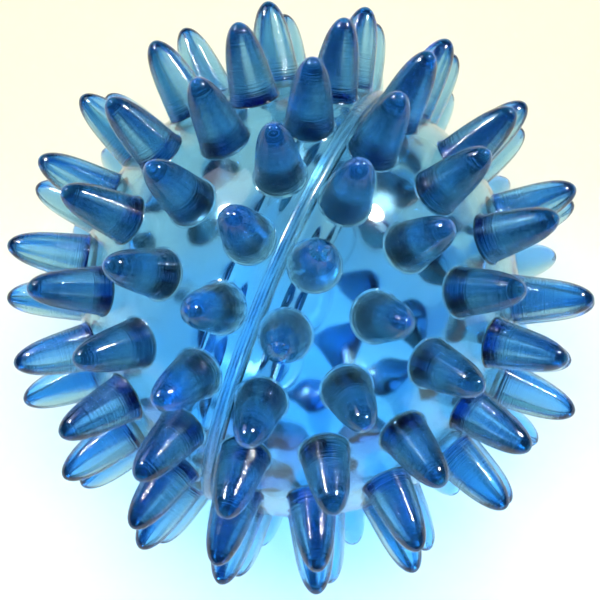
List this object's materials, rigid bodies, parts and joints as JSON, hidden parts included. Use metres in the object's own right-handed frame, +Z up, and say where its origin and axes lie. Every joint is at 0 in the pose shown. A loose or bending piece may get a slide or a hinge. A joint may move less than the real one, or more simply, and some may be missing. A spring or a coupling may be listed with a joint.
{
  "type": "spiky massage ball",
  "caption": "Hand-size clear blue massage ball: two hollow halves welded round the middle, covered with rows of bullet-shaped spikes.",
  "frame": {"origin": "centre of the ball", "axes": "+Z up, through the middle of the four spikes that the ball stands on; X along the moulding axis, from pole to pole, with the weld in the YZ plane"},
  "size_m": [0.07, 0.0684, 0.0684],
  "materials": {
    "clear_vinyl": "clear blue soft vinyl, glossy, with fine turning rings on the spikes",
    "weld_vinyl": "clear blue vinyl, rippled and slightly rough"
  },
  "bodies": {
    "root": {"left_half_shell": "clear_vinyl", "right_half_shell": "clear_vinyl", "weld_bead": "weld_vinyl", "left_spike_row_1": "clear_vinyl", "left_spike_row_2": "clear_vinyl", "left_spike_row_3": "clear_vinyl", "left_spike_row_4": "clear_vinyl", "left_pole_spike": "clear_vinyl", "right_spike_row_1": "clear_vinyl", "right_spike_row_2": "clear_vinyl", "right_spike_row_3": "clear_vinyl", "right_spike_row_4": "clear_vinyl", "right_pole_spike": "clear_vinyl"}
  },
  "joints": []
}
